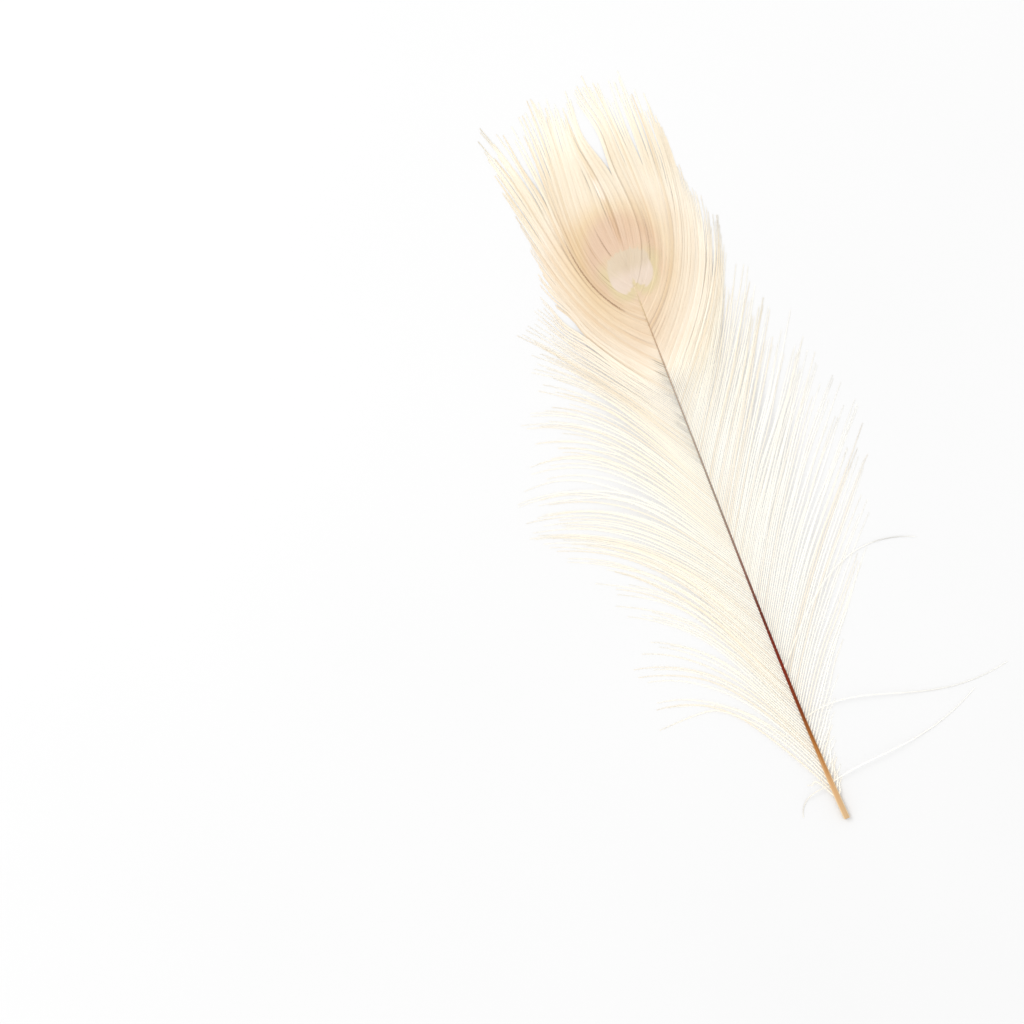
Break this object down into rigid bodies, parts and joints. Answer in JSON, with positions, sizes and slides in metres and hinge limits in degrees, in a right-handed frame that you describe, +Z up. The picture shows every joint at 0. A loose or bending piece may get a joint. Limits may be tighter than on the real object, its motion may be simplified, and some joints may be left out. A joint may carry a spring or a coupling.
{
  "type": "peacock feather",
  "caption": "Bleached peacock eye feather lying flat: a slender tapering shaft with loose cream barbs that close into a round eye under a fringed crown.",
  "frame": {"origin": "on the surface it lies on, under the middle of the feather's outline", "axes": "+Y along the shaft from the cut end to the crown, +X to the right seen from above, +Z up through the upper side"},
  "size_m": [0.1432, 0.2837, 0.0058],
  "materials": {
    "barbs": "bleached barbs, dull cream, warmer round the eye",
    "shaft": "satin horn, caramel at the cut end, red-brown to nearly black above"
  },
  "bodies": {
    "root": {"feather": "barbs"}
  },
  "joints": []
}
